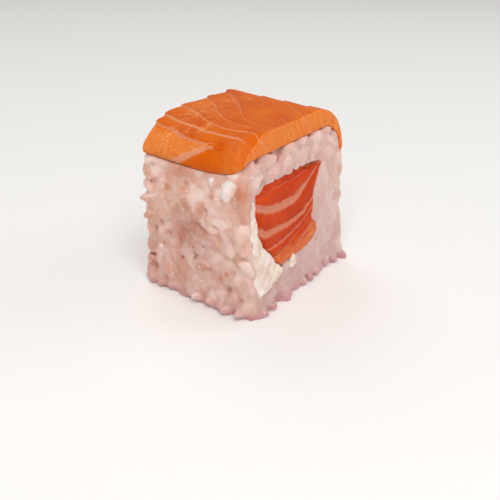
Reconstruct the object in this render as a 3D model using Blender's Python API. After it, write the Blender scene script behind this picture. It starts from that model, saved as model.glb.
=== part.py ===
"""One slice of a pressed sushi roll: a block of vinegared rice round a salmon core and soft cheese, with a
slice of raw salmon laid over the top.

The roll lay along Y. Its two cut faces look along -Y and +Y, and show the filling. The salmon slice follows
the roll's rounded upper edges. Z is up. The origin is in the middle of the foot that the block rests on.
"""

import math
import random

import bmesh
import bpy
from mathutils import Matrix, Vector

MM = 0.001

# Driving dimensions of the rice block
BLOCK_WIDTH = 35.3 * MM  # X, across the cut face
BLOCK_LENGTH = 24.3 * MM  # Y, from cut face to cut face at the top
BLOCK_HEIGHT = 32.0 * MM
FRONT_LEAN = 2.7 * MM  # how far the -Y cut face runs out at the bottom
BACK_LEAN = 1.7 * MM  # the same on the +Y cut face
WAIST = 0.4 * MM  # how far the sides swell and draw in
DENT_DEPTH = 0.8 * MM  # the pressed hollow on the -X side
DENT_PLACE = (2.0 * MM, 15.5 * MM)  # its middle, Y and Z
DENT_RADIUS = 8.0 * MM
CORE_INSET = 0.55 * MM  # the packed core lies this far under the outer grains

# Cooked short rice grains
GRAIN_LENGTH = 6.0 * MM
GRAIN_WIDTH = 2.9 * MM
GRAIN_SIDES = 6
GRAIN_ENDS = 0.6  # share of a grain's length between the two rings that round its ends
GRAIN_SPACING = {"left": 3.1 * MM, "front": 3.25 * MM, "right": 3.2 * MM, "back": 3.25 * MM}
GRAIN_DEPTH = {"left": 0.95 * MM, "front": 1.05 * MM, "right": 0.95 * MM, "back": 1.05 * MM}
RIM_SPACING = 3.0 * MM
RIM_REACH = 1.7 * MM  # how far the grains at the foot poke out

# The salmon slice
SLICE_THICKNESS = 4.0 * MM
LEFT_RADIUS = (2.0 * MM, 7.5 * MM)  # of the roll's edge under the slice, at its front and back
RIGHT_RADIUS = 6.5 * MM
RIGHT_INSET = 0.8 * MM  # the roll's shoulder on the +X side lies this far in
SLICE_LEFT_END = (31.3 * MM, 28.8 * MM)  # height of its lower edge on the -X side, front and back
SLICE_RIGHT_END = (25.5 * MM, 27.5 * MM)  # the same on the +X side
LEFT_TAPER = (2.5 * MM, 11.0 * MM)  # the slice thins out over this length, front and back
RIGHT_TAPER = (14.0 * MM, 8.0 * MM)
LEFT_EDGE = 1.4 * MM  # thickness at its ends
RIGHT_EDGE = 0.6 * MM
SLICE_OVERHANG = (0.3 * MM, 0.9 * MM)  # past the front and the back cut face
SLICE_COLUMNS = 28  # across the roll
SLICE_ROWS = 11  # along the roll
BAND_DEPTH = 0.2 * MM  # of the shallow steps between muscle bands

GAP = 0.3 * MM  # between neighbouring pieces
CUT_RELIEF = 0.5 * MM  # how far the filling stands out of the cut faces

# Height, -X side and +X side of the filling's outline on the cut face, in millimetres
CORE_SIDES = (
    (8.2, -7.4, -5.6), (9.3, -8.8, 3.6), (10.4, -9.4, 5.8), (12.2, -10.6, 6.4), (14.0, -12.7, 4.8),
    (16.5, -13.9, 5.3), (19.5, -14.6, 5.9), (22.0, -14.7, 7.1), (24.2, -14.4, 8.3), (25.6, -13.4, 8.6),
    (26.6, -9.0, 1.5),
)
CHEESE_SIDES = (
    (4.6, -14.6, -9.5), (5.6, -15.1, -5.2), (8.0, -15.3, -4.8), (11.0, -15.4, -8.0), (15.0, -15.4, -11.0),
    (19.0, -15.4, -13.0), (22.5, -15.3, -13.4), (24.6, -15.0, -14.2),
)

RICE = ("rice", (0.80, 0.62, 0.56, 1.0), 0.42)
SALMON = ("salmon", (0.66, 0.15, 0.03, 1.0), 0.30)
CORE_SALMON = ("core_salmon", (0.55, 0.07, 0.02, 1.0), 0.32)
CHEESE = ("cheese", (0.85, 0.70, 0.60, 1.0), 0.50)


def clear_scene():
    for obj in list(bpy.data.objects):
        bpy.data.objects.remove(obj, do_unlink=True)


def smooth_step(value):
    value = min(1.0, max(0.0, value))
    return value * value * (3.0 - 2.0 * value)


def between(ends, share):
    return ends[0] + (ends[1] - ends[0]) * share


def material(finish):
    name, colour, roughness = finish
    made = bpy.data.materials.new(name)
    made.use_nodes = True
    shader = made.node_tree.nodes["Principled BSDF"]
    shader.inputs["Base Color"].default_value = colour
    shader.inputs["Roughness"].default_value = roughness
    shader.inputs["Metallic"].default_value = 0.0
    return made


def add_object(name, bm, finish=None):
    """Turns a closed bmesh into an object. One without a finish is a helper and stays out of the model."""
    bmesh.ops.recalc_face_normals(bm, faces=bm.faces)
    mesh = bpy.data.meshes.new(name)
    bm.to_mesh(mesh)
    bm.free()
    obj = bpy.data.objects.new(name, mesh)
    bpy.context.scene.collection.objects.link(obj)
    if finish:
        mesh.materials.append(material(finish))
    else:
        obj.hide_render = True
        obj.display_type = "WIRE"
    return obj


def join_rings(bm, rings):
    """Quads between neighbouring closed rings of as many points."""
    for ring, following in zip(rings, rings[1:]):
        for i in range(len(ring)):
            j = (i + 1) % len(ring)
            bm.faces.new((ring[i], ring[j], following[j], following[i]))


def lofted(name, sections, finish=None):
    """A closed solid through sections with as many points each, capped at both ends."""
    bm = bmesh.new()
    rings = [[bm.verts.new(p) for p in section] for section in sections]
    join_rings(bm, rings)
    caps = [bm.faces.new(rings[0]), bm.faces.new(rings[-1])]
    bmesh.ops.triangulate(bm, faces=caps)
    return add_object(name, bm, finish)


def block_half_width(z):
    """Half the block's width at height z: fuller two thirds up and at the foot, and narrower between."""
    swell = WAIST * math.cos(2.0 * math.pi * (z / BLOCK_HEIGHT - 0.68) / 0.68)
    return BLOCK_WIDTH / 2 + swell * (1.0 - smooth_step((z / BLOCK_HEIGHT - 0.75) / 0.15))


def dent(y, z):
    """Depth of the pressed hollow on the -X side."""
    away = math.hypot(y - DENT_PLACE[0], z - DENT_PLACE[1]) / DENT_RADIUS
    return DENT_DEPTH * (1.0 - smooth_step(away))


def side_x(side, y, z):
    return side * block_half_width(z) + (dent(y, z) if side < 0 else 0.0)


def front_y(z):
    return -BLOCK_LENGTH / 2 - FRONT_LEAN * (1.0 - z / BLOCK_HEIGHT)


def back_y(z):
    return BLOCK_LENGTH / 2 + BACK_LEAN * (1.0 - z / BLOCK_HEIGHT)


def packed_core(levels=9, steps=7):
    """The block of rice under its outer grains. It passes the floor and the slice, and is cut back later."""
    sections = []
    for step in range(steps):
        section = []
        for side in (-1.0, 1.0):
            column = []
            for level in range(levels):
                z = BLOCK_HEIGHT * level / (levels - 1)
                near, far = front_y(z) + CORE_INSET, back_y(z) - CORE_INSET
                y = between((near, far), step / (steps - 1))
                x = side_x(side, y, z) - side * CORE_INSET
                column.append((x, y, z - GAP if level == 0 else z))
            section += column if side < 0 else reversed(column)
        sections.append(section)
    return lofted("rice_block", sections, RICE)


def grain_mesh(name, length, width):
    """A cooked grain along X: a plump, six-sided spindle with blunt ends."""
    bm = bmesh.new()
    rings = []
    for side in (-0.5, 0.5):
        turns = [2.0 * math.pi * i / GRAIN_SIDES for i in range(GRAIN_SIDES)]
        rings.append([bm.verts.new((side * GRAIN_ENDS * length, 0.5 * width * math.cos(t),
                                    0.5 * width * math.sin(t))) for t in turns])
    join_rings(bm, rings)
    for side, ring in zip((-0.5, 0.5), rings):
        tip = bm.verts.new((side * length, 0.0, 0.0))
        for i in range(GRAIN_SIDES):
            bm.faces.new((tip, ring[i], ring[(i + 1) % GRAIN_SIDES]))
    bmesh.ops.recalc_face_normals(bm, faces=bm.faces)
    mesh = bpy.data.meshes.new(name)
    bm.to_mesh(mesh)
    bm.free()
    return mesh


def scattered(draw, width, height, spacing, tries=6000):
    """Points over a rectangle, no two nearer than the spacing."""
    points = []
    for _ in range(tries):
        point = (draw.uniform(0.0, width), draw.uniform(0.0, height))
        if all(math.dist(point, other) > spacing for other in points):
            points.append(point)
    return points


def turned(normal, spin, tilt):
    """The rotation of a grain that lies on a surface, turned in it by spin and tipped out of it by tilt."""
    return normal.to_track_quat("Z", "Y").to_matrix() @ Matrix.Rotation(spin, 3, "Z") @ (
        Matrix.Rotation(tilt, 3, "Y"))


def side_grains(draw):
    """The place and turn of each grain on the four upright sides."""
    margin = GRAIN_WIDTH / 2
    placed = []
    for face, spacing in GRAIN_SPACING.items():
        across_y = face in ("left", "right")
        side = -1.0 if face in ("left", "front") else 1.0
        across = (BLOCK_LENGTH if across_y else BLOCK_WIDTH) - 2 * margin
        for a, z in scattered(draw, across, BLOCK_HEIGHT - margin, spacing):
            z += 0.5 * margin
            share = a / across
            if across_y:
                y = between((front_y(z) + margin, back_y(z) - margin), share)
                place, normal = Vector((side_x(side, y, z), y, z)), Vector((side, 0.0, 0.0))
            else:
                x = between((side_x(-1.0, 0.0, z) + margin, side_x(1.0, 0.0, z) - margin), share)
                y = front_y(z) if side < 0 else back_y(z)
                place, normal = Vector((x, y, z)), Vector((0.0, side, 0.0))
            depth = GRAIN_DEPTH[face] * draw.uniform(0.75, 1.2)
            turn = turned(normal, draw.uniform(0.0, math.pi), draw.gauss(0.0, 0.1))
            placed.append((place - normal * depth, turn))
    return placed


def rim_grains(draw):
    """Grains that poke out round the foot of the block, which give its scalloped lower edge."""
    half, near, far = block_half_width(0.0), front_y(0.0), back_y(0.0)
    corners = [Vector((x, y, 0.0)) for x, y in ((-half, near), (half, near), (half, far), (-half, far))]
    placed = []
    for start, end in zip(corners, corners[1:] + corners[:1]):
        run = end - start
        outward = Vector((run.y, -run.x, 0.0)).normalized()
        count = round(run.length / RIM_SPACING)
        for i in range(count):
            place = start + run * ((i + draw.uniform(0.3, 0.7)) / count)
            place -= outward * (GRAIN_LENGTH / 2 - RIM_REACH * draw.uniform(0.7, 1.2))
            place.z = GRAIN_WIDTH * draw.uniform(0.3, 0.6)
            heading = math.atan2(outward.y, outward.x) + draw.gauss(0.0, 0.35)
            turn = Matrix.Rotation(heading, 3, "Z") @ Matrix.Rotation(draw.gauss(0.15, 0.15), 3, "Y")
            placed.append((place, turn))
    return placed


def rice_block(cutters):
    """Core and grains fused into one solid, then cut back from its neighbours and flat at the foot."""
    block = packed_core()
    draw = random.Random(14)
    grains = bpy.data.collections.new("grains")
    bpy.context.scene.collection.children.link(grains)
    for number, (place, turn) in enumerate(side_grains(draw) + rim_grains(draw)):
        length, width = GRAIN_LENGTH * draw.gauss(1.0, 0.07), GRAIN_WIDTH * draw.gauss(1.0, 0.05)
        mesh = grain_mesh(f"grain_{number}", length, width)
        mesh.transform(Matrix.Translation(place) @ turn.to_4x4())
        grains.objects.link(bpy.data.objects.new(f"grain_{number}", mesh))
    fuse = block.modifiers.new("grains", "BOOLEAN")
    fuse.operation, fuse.solver = "UNION", "MANIFOLD"
    fuse.operand_type, fuse.collection = "COLLECTION", grains
    apply_modifiers(block)
    for grain in list(grains.objects):
        bpy.data.objects.remove(grain, do_unlink=True)
    bpy.data.collections.remove(grains)
    cut_back(block, cutters)
    for cutter in cutters:
        bpy.data.objects.remove(cutter, do_unlink=True)
    return block


def cut_back(obj, cutters):
    for cutter in cutters:
        cut = obj.modifiers.new(cutter.name, "BOOLEAN")
        cut.operation, cut.solver, cut.object = "DIFFERENCE", "MANIFOLD", cutter
    apply_modifiers(obj)
    keep_largest(obj)


def apply_modifiers(obj):
    bpy.context.view_layer.update()
    graph = bpy.context.evaluated_depsgraph_get()
    solid = bpy.data.meshes.new_from_object(obj.evaluated_get(graph), depsgraph=graph)
    obj.modifiers.clear()
    obj.data = solid


def keep_largest(obj):
    """Drops loose scraps and sealed hollows: every shell but the one with the most points."""
    bm = bmesh.new()
    bm.from_mesh(obj.data)
    shells, seen = [], set()
    for start in bm.verts:
        if start in seen:
            continue
        shell, border = {start}, [start]
        while border:
            for edge in border.pop().link_edges:
                for vert in edge.verts:
                    if vert not in shell:
                        shell.add(vert)
                        border.append(vert)
        seen |= shell
        shells.append(shell)
    largest = max(shells, key=len)
    bmesh.ops.delete(bm, geom=[v for v in bm.verts if v not in largest], context="VERTS")
    bm.to_mesh(obj.data)
    bm.free()


def smooth_sides(sides, steps=2):
    """Points in metres on smooth curves through the heights and sides given in millimetres."""
    rows = []
    last = len(sides) - 1
    for i in range(last):
        a, b, c, d = (Vector(sides[min(last, max(0, i + k))]) * MM for k in (-1, 0, 1, 2))
        for step in range(steps):
            t = step / steps
            rows.append(0.5 * (2 * b + (c - a) * t + (2 * a - 5 * b + 4 * c - d) * t**2
                               + (3 * b - a - 3 * c + d) * t**3))
    return [*rows, Vector(sides[last]) * MM]


def flake_relief(x, z):
    """The muscle flakes of the cut salmon stand out between their fat lines, which are wide upward arcs."""
    arc = 0.022 / MM * (x + 5.0 * MM) ** 2
    flake = (z - arc - 16.3 * MM) / (4.5 * MM)
    return CUT_RELIEF * math.sqrt(abs(math.sin(math.pi * flake)))


def cheese_relief(x, z):
    """The soft cheese was dragged by the knife, so its cut is ragged."""
    return CUT_RELIEF * (0.5 + 0.5 * math.sin(2.1 * x / MM) * math.cos(1.7 * z / MM))


def run_through(name, sides, relief, finish, columns=10):
    """A solid that runs from cut face to cut face, with the relief on both of its ends."""
    rows = smooth_sides(sides)
    bm = bmesh.new()
    ends = []
    for out in (-1.0, 1.0):
        grid = []
        for z, left, right in rows:
            line = []
            for i in range(columns + 1):
                x = between((left, right), i / columns)
                y = front_y(z) if out < 0 else back_y(z)
                inside = 0 < i < columns and z not in (rows[0][0], rows[-1][0])
                line.append(bm.verts.new((x, y + out * relief(x, z) * inside, z)))
            grid.append(line)
        for lower, upper in zip(grid, grid[1:]):
            for i in range(columns):
                bm.faces.new((lower[i], lower[i + 1], upper[i + 1], upper[i]))
        ends.append(rim_of(grid))
    join_rings(bm, ends)
    return add_object(name, bm, finish)


def rim_of(grid):
    """The points round the edge of a grid, in order."""
    right = [line[-1] for line in grid]
    left = [line[0] for line in grid]
    return grid[0][:-1] + right[:-1] + grid[-1][:0:-1] + left[:0:-1]


def room_for(name, sides, past=6.0 * MM):
    """What is cut out of the rice for a filling: its outline grown by the gap, past both cut faces."""
    rows = smooth_sides(sides)
    outline = [Vector((x, z)) for z, _, x in rows] + [Vector((x, z)) for z, x, _ in reversed(rows)]
    grown = []
    for i, point in enumerate(outline):
        along = (outline[(i + 1) % len(outline)] - outline[i - 1]).normalized()
        grown.append(point + GAP * Vector((along.y, -along.x)))
    sections = []
    for out in (-1.0, 1.0):
        sections.append([(p.x, (front_y(p.y) if out < 0 else back_y(p.y)) + out * past, p.y) for p in grown])
    return lofted(name, sections)


def over_roll(distance, radius, half):
    """Where a line laid over the roll is at this distance from the middle of the top, and its normal."""
    flat = half - radius
    turn = min(0.5 * math.pi, max(0.0, (distance - flat) / radius))
    drop = max(0.0, distance - flat - 0.5 * math.pi * radius)
    x = min(distance, flat) + radius * math.sin(turn)
    z = BLOCK_HEIGHT - radius + radius * math.cos(turn) - drop
    return Vector((x, z)), Vector((math.sin(turn), math.cos(turn)))


def reach_of(end, radius, half):
    """The distance along the same line at which it comes down to the height of the slice's end."""
    flat, drop = half - radius, BLOCK_HEIGHT - radius - end
    if drop >= 0.0:
        return flat + 0.5 * math.pi * radius + drop
    return flat + radius * math.acos(-drop / radius)


def left_end(along):
    """The lower edge on the -X side hangs down from the front corner and then runs level."""
    return between((SLICE_LEFT_END[1], SLICE_LEFT_END[0]), max(0.0, 1.0 - along / 0.45) ** 2)


def drape(along):
    """Points of the slice's underside across the roll, each with its normal and the thickness over it.

    along runs from 0 at the front cut face to 1 at the back.
    """
    half, rounding = BLOCK_WIDTH / 2, math.sqrt(along)
    left_side = (between(LEFT_RADIUS, rounding), half)
    right_side = (RIGHT_RADIUS, half - RIGHT_INSET)
    left = reach_of(left_end(along), *left_side)
    right = reach_of(between(SLICE_RIGHT_END, along), *right_side)
    line = []
    for i in range(SLICE_COLUMNS + 1):
        s = between((-left, right), i / SLICE_COLUMNS)
        place, normal = over_roll(abs(s), *(left_side if s < 0 else right_side))
        if s < 0:
            place.x, normal.x = -place.x, -normal.x
        full = SLICE_THICKNESS * (1.0 - 0.05 * along)
        thick = between((LEFT_EDGE, full), smooth_step((s + left) / between(LEFT_TAPER, rounding)))
        thin = between((RIGHT_EDGE, full), smooth_step((right - s) / between(RIGHT_TAPER, along)))
        line.append((place, normal, min(thick, thin)))
    return line


def band_relief(x, y):
    """Shallow steps where the muscle bands meet, fanned across the slice."""
    band = (x + 19.5 * MM - 0.2 * y) / (4.66 * MM + 0.172 * y)
    return BAND_DEPTH * (band - math.floor(band))


def drape_y(along, z):
    return between((front_y(z) - SLICE_OVERHANG[0], back_y(z) + SLICE_OVERHANG[1]), along)


def salmon_slice():
    bm = bmesh.new()
    under, over = [], []
    for row in range(SLICE_ROWS + 1):
        along = row / SLICE_ROWS
        lower, upper = [], []
        for place, normal, thickness in drape(along):
            y = drape_y(along, place.y)
            foot = place + normal * GAP
            top = foot + normal * (thickness - band_relief(place.x, y))
            lower.append(bm.verts.new((foot.x, y, foot.y)))
            upper.append(bm.verts.new((top.x, y, top.y)))
        under.append(lower)
        over.append(upper)
    for grid in (under, over):
        for line, following in zip(grid, grid[1:]):
            for i in range(SLICE_COLUMNS):
                bm.faces.new((line[i], line[i + 1], following[i + 1], following[i]))
    join_rings(bm, [rim_of(under), rim_of(over)])
    return add_object("salmon_slice", bm, SALMON)


def slice_clearance(lap=8.0 * MM, reach=9.0 * MM):
    """The space over the roll's upper edges, where no grain may stand."""
    sections = []
    for row in range(SLICE_ROWS + 1):
        along = row / SLICE_ROWS
        line = drape(along)
        first, last = line[0][0] - Vector((0.0, GAP)), line[-1][0] - Vector((0.0, GAP))
        high, wide = BLOCK_HEIGHT + reach, BLOCK_WIDTH / 2 + reach
        inner = [first, *(place for place, _, _ in line), last]
        outer = [Vector((wide, last.y)), Vector((wide, high)), Vector((-wide, high)), Vector((-wide, first.y))]
        past = {0: -lap, SLICE_ROWS: lap}.get(row, 0.0)
        sections.append([(p.x, drape_y(along, p.y) + past, p.y) for p in inner + outer])
    return lofted("slice_clearance", sections)


def floor_cutter(size=100.0 * MM, depth=10.0 * MM):
    bm = bmesh.new()
    bmesh.ops.create_cube(bm, size=1.0)
    bmesh.ops.scale(bm, vec=(size, size, depth), verts=bm.verts)
    bmesh.ops.translate(bm, vec=(0.0, 0.0, -depth / 2), verts=bm.verts)
    return add_object("floor_cutter", bm)


def main():
    clear_scene()
    run_through("salmon_filling", CORE_SIDES, flake_relief, CORE_SALMON)
    cheese = run_through("soft_cheese", CHEESE_SIDES, cheese_relief, CHEESE)
    filling_room = room_for("filling_room", CORE_SIDES)
    cut_back(cheese, [filling_room])
    salmon_slice()
    rice_block([filling_room, room_for("cheese_room", CHEESE_SIDES), slice_clearance(), floor_cutter()])


main()
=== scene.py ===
"""Looks of one slice of a pressed sushi roll: vinegared rice round a raw salmon and soft cheese core, with a
slice of raw salmon laid over the top. Lengths are in metres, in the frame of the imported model: +Z is up, the
front cut face is towards -Y, the soft cheese towards -X, and the origin is in the middle of the foot.
"""

import math

import bmesh
import bpy
import numpy as np
from mathutils import Matrix, Vector
from mathutils.bvhtree import BVHTree
from mathutils.noise import noise, noise_vector


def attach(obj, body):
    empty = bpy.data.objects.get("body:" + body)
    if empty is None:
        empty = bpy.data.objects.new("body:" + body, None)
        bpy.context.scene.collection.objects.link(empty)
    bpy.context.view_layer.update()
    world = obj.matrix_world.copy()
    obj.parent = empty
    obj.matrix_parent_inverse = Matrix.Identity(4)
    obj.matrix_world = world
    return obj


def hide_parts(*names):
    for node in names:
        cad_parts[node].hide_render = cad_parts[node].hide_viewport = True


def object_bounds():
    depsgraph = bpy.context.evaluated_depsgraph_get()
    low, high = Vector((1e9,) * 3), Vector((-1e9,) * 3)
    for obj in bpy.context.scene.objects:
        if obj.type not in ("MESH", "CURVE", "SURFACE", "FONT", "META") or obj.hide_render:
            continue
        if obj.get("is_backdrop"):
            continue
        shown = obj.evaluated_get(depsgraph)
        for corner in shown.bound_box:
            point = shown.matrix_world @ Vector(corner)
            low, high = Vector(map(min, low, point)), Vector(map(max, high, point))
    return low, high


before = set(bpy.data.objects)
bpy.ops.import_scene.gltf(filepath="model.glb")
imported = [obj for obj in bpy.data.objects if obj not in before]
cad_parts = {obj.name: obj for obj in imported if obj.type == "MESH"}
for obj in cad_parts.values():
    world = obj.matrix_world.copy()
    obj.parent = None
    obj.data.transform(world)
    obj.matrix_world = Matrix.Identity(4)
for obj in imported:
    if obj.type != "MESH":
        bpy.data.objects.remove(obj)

low_corner, high_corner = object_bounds()
cad_box = [list(low_corner), list(high_corner)]


# The table and the light. The table top is pale matt laminate, which takes soft shadows and mirrors nothing.
# Soft boxes stand as a food photographer sets them: a large one over the front left corner, a small one
# beside it for glints, a fill on the right and a weak one behind.
MM = 0.001
TABLE_SIZE = 1.6
TABLE_COLOUR = "#fbfaf8"
TABLE_ROUGHNESS = 0.65
SOFT_BOXES = (  # place, width and power
    ((-0.30, -0.30, 0.58), 0.46, 2.75),
    ((-0.42, -0.14, 0.34), 0.05, 0.20),
    ((0.42, -0.38, 0.30), 0.40, 0.65),
    ((0.20, 0.40, 0.62), 0.40, 0.8),
)
AIM = Vector((0.0, 0.0, 18 * MM))
ROOM_COLOUR = "#fffdfa"
ROOM_LIGHT = 0.40


def linear(code):
    """An sRGB hex colour as the linear RGBA that a shader takes."""
    parts = [int(code[i:i + 2], 16) / 255 for i in (1, 3, 5)]
    return (*(p / 12.92 if p <= 0.04045 else ((p + 0.055) / 1.055) ** 2.4 for p in parts), 1.0)


def add(tree, kind, inputs=(), **settings):
    """Adds a node with its settings. Its inputs go by name, or in the order of those in use. Each takes a
    value, a hex colour, an output, or a node, whose first output in use is linked.
    """
    node = tree.nodes.new(kind)
    for name, value in settings.items():
        setattr(node, name, value)
    in_use = [socket for socket in node.inputs if socket.enabled]
    for key, value in inputs.items() if isinstance(inputs, dict) else enumerate(inputs):
        socket = node.inputs[key] if isinstance(key, str) else in_use[key]
        if isinstance(value, bpy.types.Node):
            value = next(output for output in value.outputs if output.enabled)
        if isinstance(value, bpy.types.NodeSocket):
            tree.links.new(value, socket)
        else:
            socket.default_value = linear(value) if str(value).startswith("#") else value
    return node


def new_material(name):
    """A material with an empty node tree, and the tree."""
    material = bpy.data.materials.new(name)
    material.use_nodes = True
    material.node_tree.nodes.clear()
    return material, material.node_tree


def put_mesh(name, points, faces, material=None):
    """An object at the origin with its place in its mesh, shaded smooth."""
    mesh = bpy.data.meshes.new(name)
    mesh.from_pydata([tuple(p) for p in points], [], [tuple(f) for f in faces])
    mesh.validate()
    mesh.shade_smooth()
    piece = bpy.data.objects.new(name, mesh)
    bpy.context.scene.collection.objects.link(piece)
    if material:
        mesh.materials.append(material)
    return piece


table_finish, tree = new_material("pale_matt_laminate")
shader = add(tree, "ShaderNodeBsdfPrincipled", {"Base Color": TABLE_COLOUR, "Roughness": TABLE_ROUGHNESS})
add(tree, "ShaderNodeOutputMaterial", {"Surface": shader})
half = TABLE_SIZE / 2
table_corners = [(x, y, 0) for x, y in ((-half, -half), (half, -half), (half, half), (-half, half))]
floor = put_mesh("floor", table_corners, [(0, 1, 2, 3)], table_finish)
floor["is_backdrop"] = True

for number, (place, width, power) in enumerate(SOFT_BOXES):
    light = bpy.data.lights.new(f"soft_box_{number}", "AREA")
    light.size, light.energy = width, power
    lamp = bpy.data.objects.new(light.name, light)
    lamp.location = place
    lamp.rotation_euler = (AIM - Vector(place)).to_track_quat("-Z", "Y").to_euler()
    bpy.context.scene.collection.objects.link(lamp)

world = bpy.data.worlds.new("bright_room")
world.use_nodes = True
world.node_tree.nodes["Background"].inputs["Color"].default_value = linear(ROOM_COLOUR)
world.node_tree.nodes["Background"].inputs["Strength"].default_value = ROOM_LIGHT
bpy.context.scene.world = world
bpy.context.scene.view_settings.view_transform = "Standard"


# The camera stands where the photograph was taken from, above the block's front left corner. Its place and
# its lens were worked out from the edges of the block.
CAMERA_PLACE = Vector((-103.21, -76.84, 72.02)) * MM
CAMERA_AIM = Vector((0.7128, 0.5235, -0.4668))
CAMERA_LENS = 46.8
SENSOR_WIDTH = 36.0
NEAREST_SEEN = 5 * MM
FARTHEST_SEEN = 5.0

camera = bpy.data.objects.new("camera", bpy.data.cameras.new("camera"))
camera.data.lens, camera.data.sensor_width = CAMERA_LENS, SENSOR_WIDTH
camera.data.clip_start, camera.data.clip_end = NEAREST_SEEN, FARTHEST_SEEN
camera.location = CAMERA_PLACE
camera.rotation_euler = CAMERA_AIM.to_track_quat("-Z", "Y").to_euler()
bpy.context.scene.collection.objects.link(camera)
bpy.context.scene.camera = camera


# The rice. Cooked short grains, sticky with vinegar, pressed into a square roll and cut across with a wet
# knife: whole grains show on the pressed sides and round the foot, and the two cut faces are smeared flat.
BLOCK_WIDTH = 35.3 * MM
BLOCK_LENGTH = 24.3 * MM
BLOCK_HEIGHT = 32.0 * MM
FRONT_LEAN = 2.7 * MM
BACK_LEAN = 1.7 * MM
WAIST = 0.4 * MM
FULLEST = 0.68  # of the height
DENT_DEPTH = 0.8 * MM
DENT_PLACE = (2.0 * MM, 15.5 * MM)
DENT_RADIUS = 8.0 * MM
GRAIN_LENGTH = 6.0 * MM
GRAIN_WIDTH = 2.6 * MM
GRAIN_SPACING = 2.3 * MM
GRAIN_DEPTH = 0.95 * MM  # of a grain's middle under the wall
GRAIN_TIP = 0.12  # how far its ends may tip out of the wall, in radians
GRAIN_BOW = -0.75
GRAIN_SIZES = ((0.85, 0.88, 0.85), (1.12, 1.10, 1.05))  # the least and the most, against the size given
MOST_GRAINS = 4e6  # for each square metre, before the spacing thins them out
FOOT_SPACING = 2.4 * MM
FOOT_DEPTH = 1.4 * MM
FOOT_TIP = 0.75
FOOT_TURN = 0.9
FOOT_FLARE = 0.7 * MM
FOOT_SINK = 0.3 * MM
LOOSE_LENGTH = 5.0 * MM
LOOSE_WIDTH = 2.5 * MM
LOOSE_SPACING = 5.0 * MM
LOOSE_DEPTH = 1.15 * MM
HANGING_WIDTH = 3.3 * MM  # of the grains that hang over the filling
LUMP_SIZE = 1.1 * MM
LUMP_HEIGHT = 0.06 * MM
PACKED_INSET = 1.3 * MM
PACKED_CELLS = (24, 18, 20)
WALL_CELLS = (16, 12, 14)
STICKY_VOXEL = 0.26 * MM  # the grains run together below this size
LEFT_RADIUS = (2.0 * MM, 7.5 * MM)
RIGHT_RADIUS = 6.5 * MM
RIGHT_INSET = 0.8 * MM
SLICE_LEFT_END = (30.5 * MM, 28.8 * MM)
SLICE_RIGHT_END = (25.5 * MM, 27.5 * MM)
TOUCH = 0.05 * MM  # between neighbours that stick together
# Height, -X side and +X side of the two fillings on the cut face, in millimetres
CORE_SIDES = (
    (8.2, -7.4, -5.6), (9.3, -8.8, 3.6), (10.4, -9.4, 5.8), (12.2, -10.6, 6.4), (14, -12.7, 4.8),
    (16.5, -13.9, 5.3), (19.5, -14.6, 5.9), (22, -14.7, 7.1), (24.2, -14.4, 8.3), (25.6, -13.4, 8.6),
    (26.6, -9, 1.5),
)
CHEESE_SIDES = (
    (4.3, -15.2, -13.6), (5.4, -15.7, -9.9), (6.6, -16, -7.1), (8, -16.2, -6.9), (9.3, -16.2, -8.6),
    (11, -16.3, -9.6), (15, -16.4, -13), (19, -16.4, -14.5), (22.5, -16, -14.8), (24.4, -15.4, -14.7),
)


def smooth_step(value, start=0.0, end=1.0):
    value = np.clip((value - start) / (end - start), 0.0, 1.0)
    return value * value * (3.0 - 2.0 * value)


def between(ends, share):
    return ends[0] + (ends[1] - ends[0]) * share


def half_width(z):
    """Half the block's width: fuller two thirds up and at the foot, and narrower between."""
    swell = WAIST * np.cos(2.0 * np.pi * (z / BLOCK_HEIGHT - FULLEST) / FULLEST)
    return BLOCK_WIDTH / 2 + swell * (1.0 - smooth_step(z / BLOCK_HEIGHT, 0.75, 0.9))


def dent(y, z):
    away = np.hypot(y - DENT_PLACE[0], z - DENT_PLACE[1]) / DENT_RADIUS
    return DENT_DEPTH * (1.0 - smooth_step(away))


def front_y(z):
    return -BLOCK_LENGTH / 2 - FRONT_LEAN * (1.0 - z / BLOCK_HEIGHT)


def back_y(z):
    return BLOCK_LENGTH / 2 + BACK_LEAN * (1.0 - z / BLOCK_HEIGHT)


def along_curve(points, at):
    """The value at a place along a smooth curve through (place, value) points, held level past its ends."""
    places, values = np.array(points, float).T
    slopes = np.gradient(values, places)
    i = np.clip(np.searchsorted(places, at) - 1, 0, len(places) - 2)
    gap = places[i + 1] - places[i]
    t = np.clip((at - places[i]) / gap, 0.0, 1.0)
    return ((2 * t**3 - 3 * t**2 + 1) * values[i] + (t**3 - 2 * t**2 + t) * gap * slopes[i]
            + (3 * t**2 - 2 * t**3) * values[i + 1] + (t**3 - t**2) * gap * slopes[i + 1])


def sides_at(sides, z):
    """The -X and +X side of a filling at height z."""
    rows = np.array(sides) * MM
    return along_curve(rows[:, :2], z), along_curve(rows[:, (0, 2)], z)


def wavy(points, size, seed):
    """Smooth noise from -1 to 1 at each point, with lumps of this size."""
    moved = Vector((seed * 3.7, seed * 1.3, -seed * 2.1))
    return np.array([noise(Vector(p) / size + moved) for p in points])


def core_edge(x, z):
    """The filling's real outline: uneven, and dented along the top by the grains that hang over it."""
    flat = np.column_stack([x, np.zeros(len(x)), z])
    share = np.mod(x + 1.2 * MM, HANGING_WIDTH) / HANGING_WIDTH
    hang = 0.4 * MM - 0.95 * MM * np.sqrt(1.0 - (2.0 * share - 1.0) ** 2)
    z = z + hang * smooth_step(z, 24.0 * MM, 26.4 * MM) * (1.0 + 0.4 * wavy(flat, 4.0 * MM, 12))
    return x + 0.3 * MM * wavy(flat, 1.5 * MM, 11), z + 0.25 * MM * wavy(flat, 1.6 * MM, 13)


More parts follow.
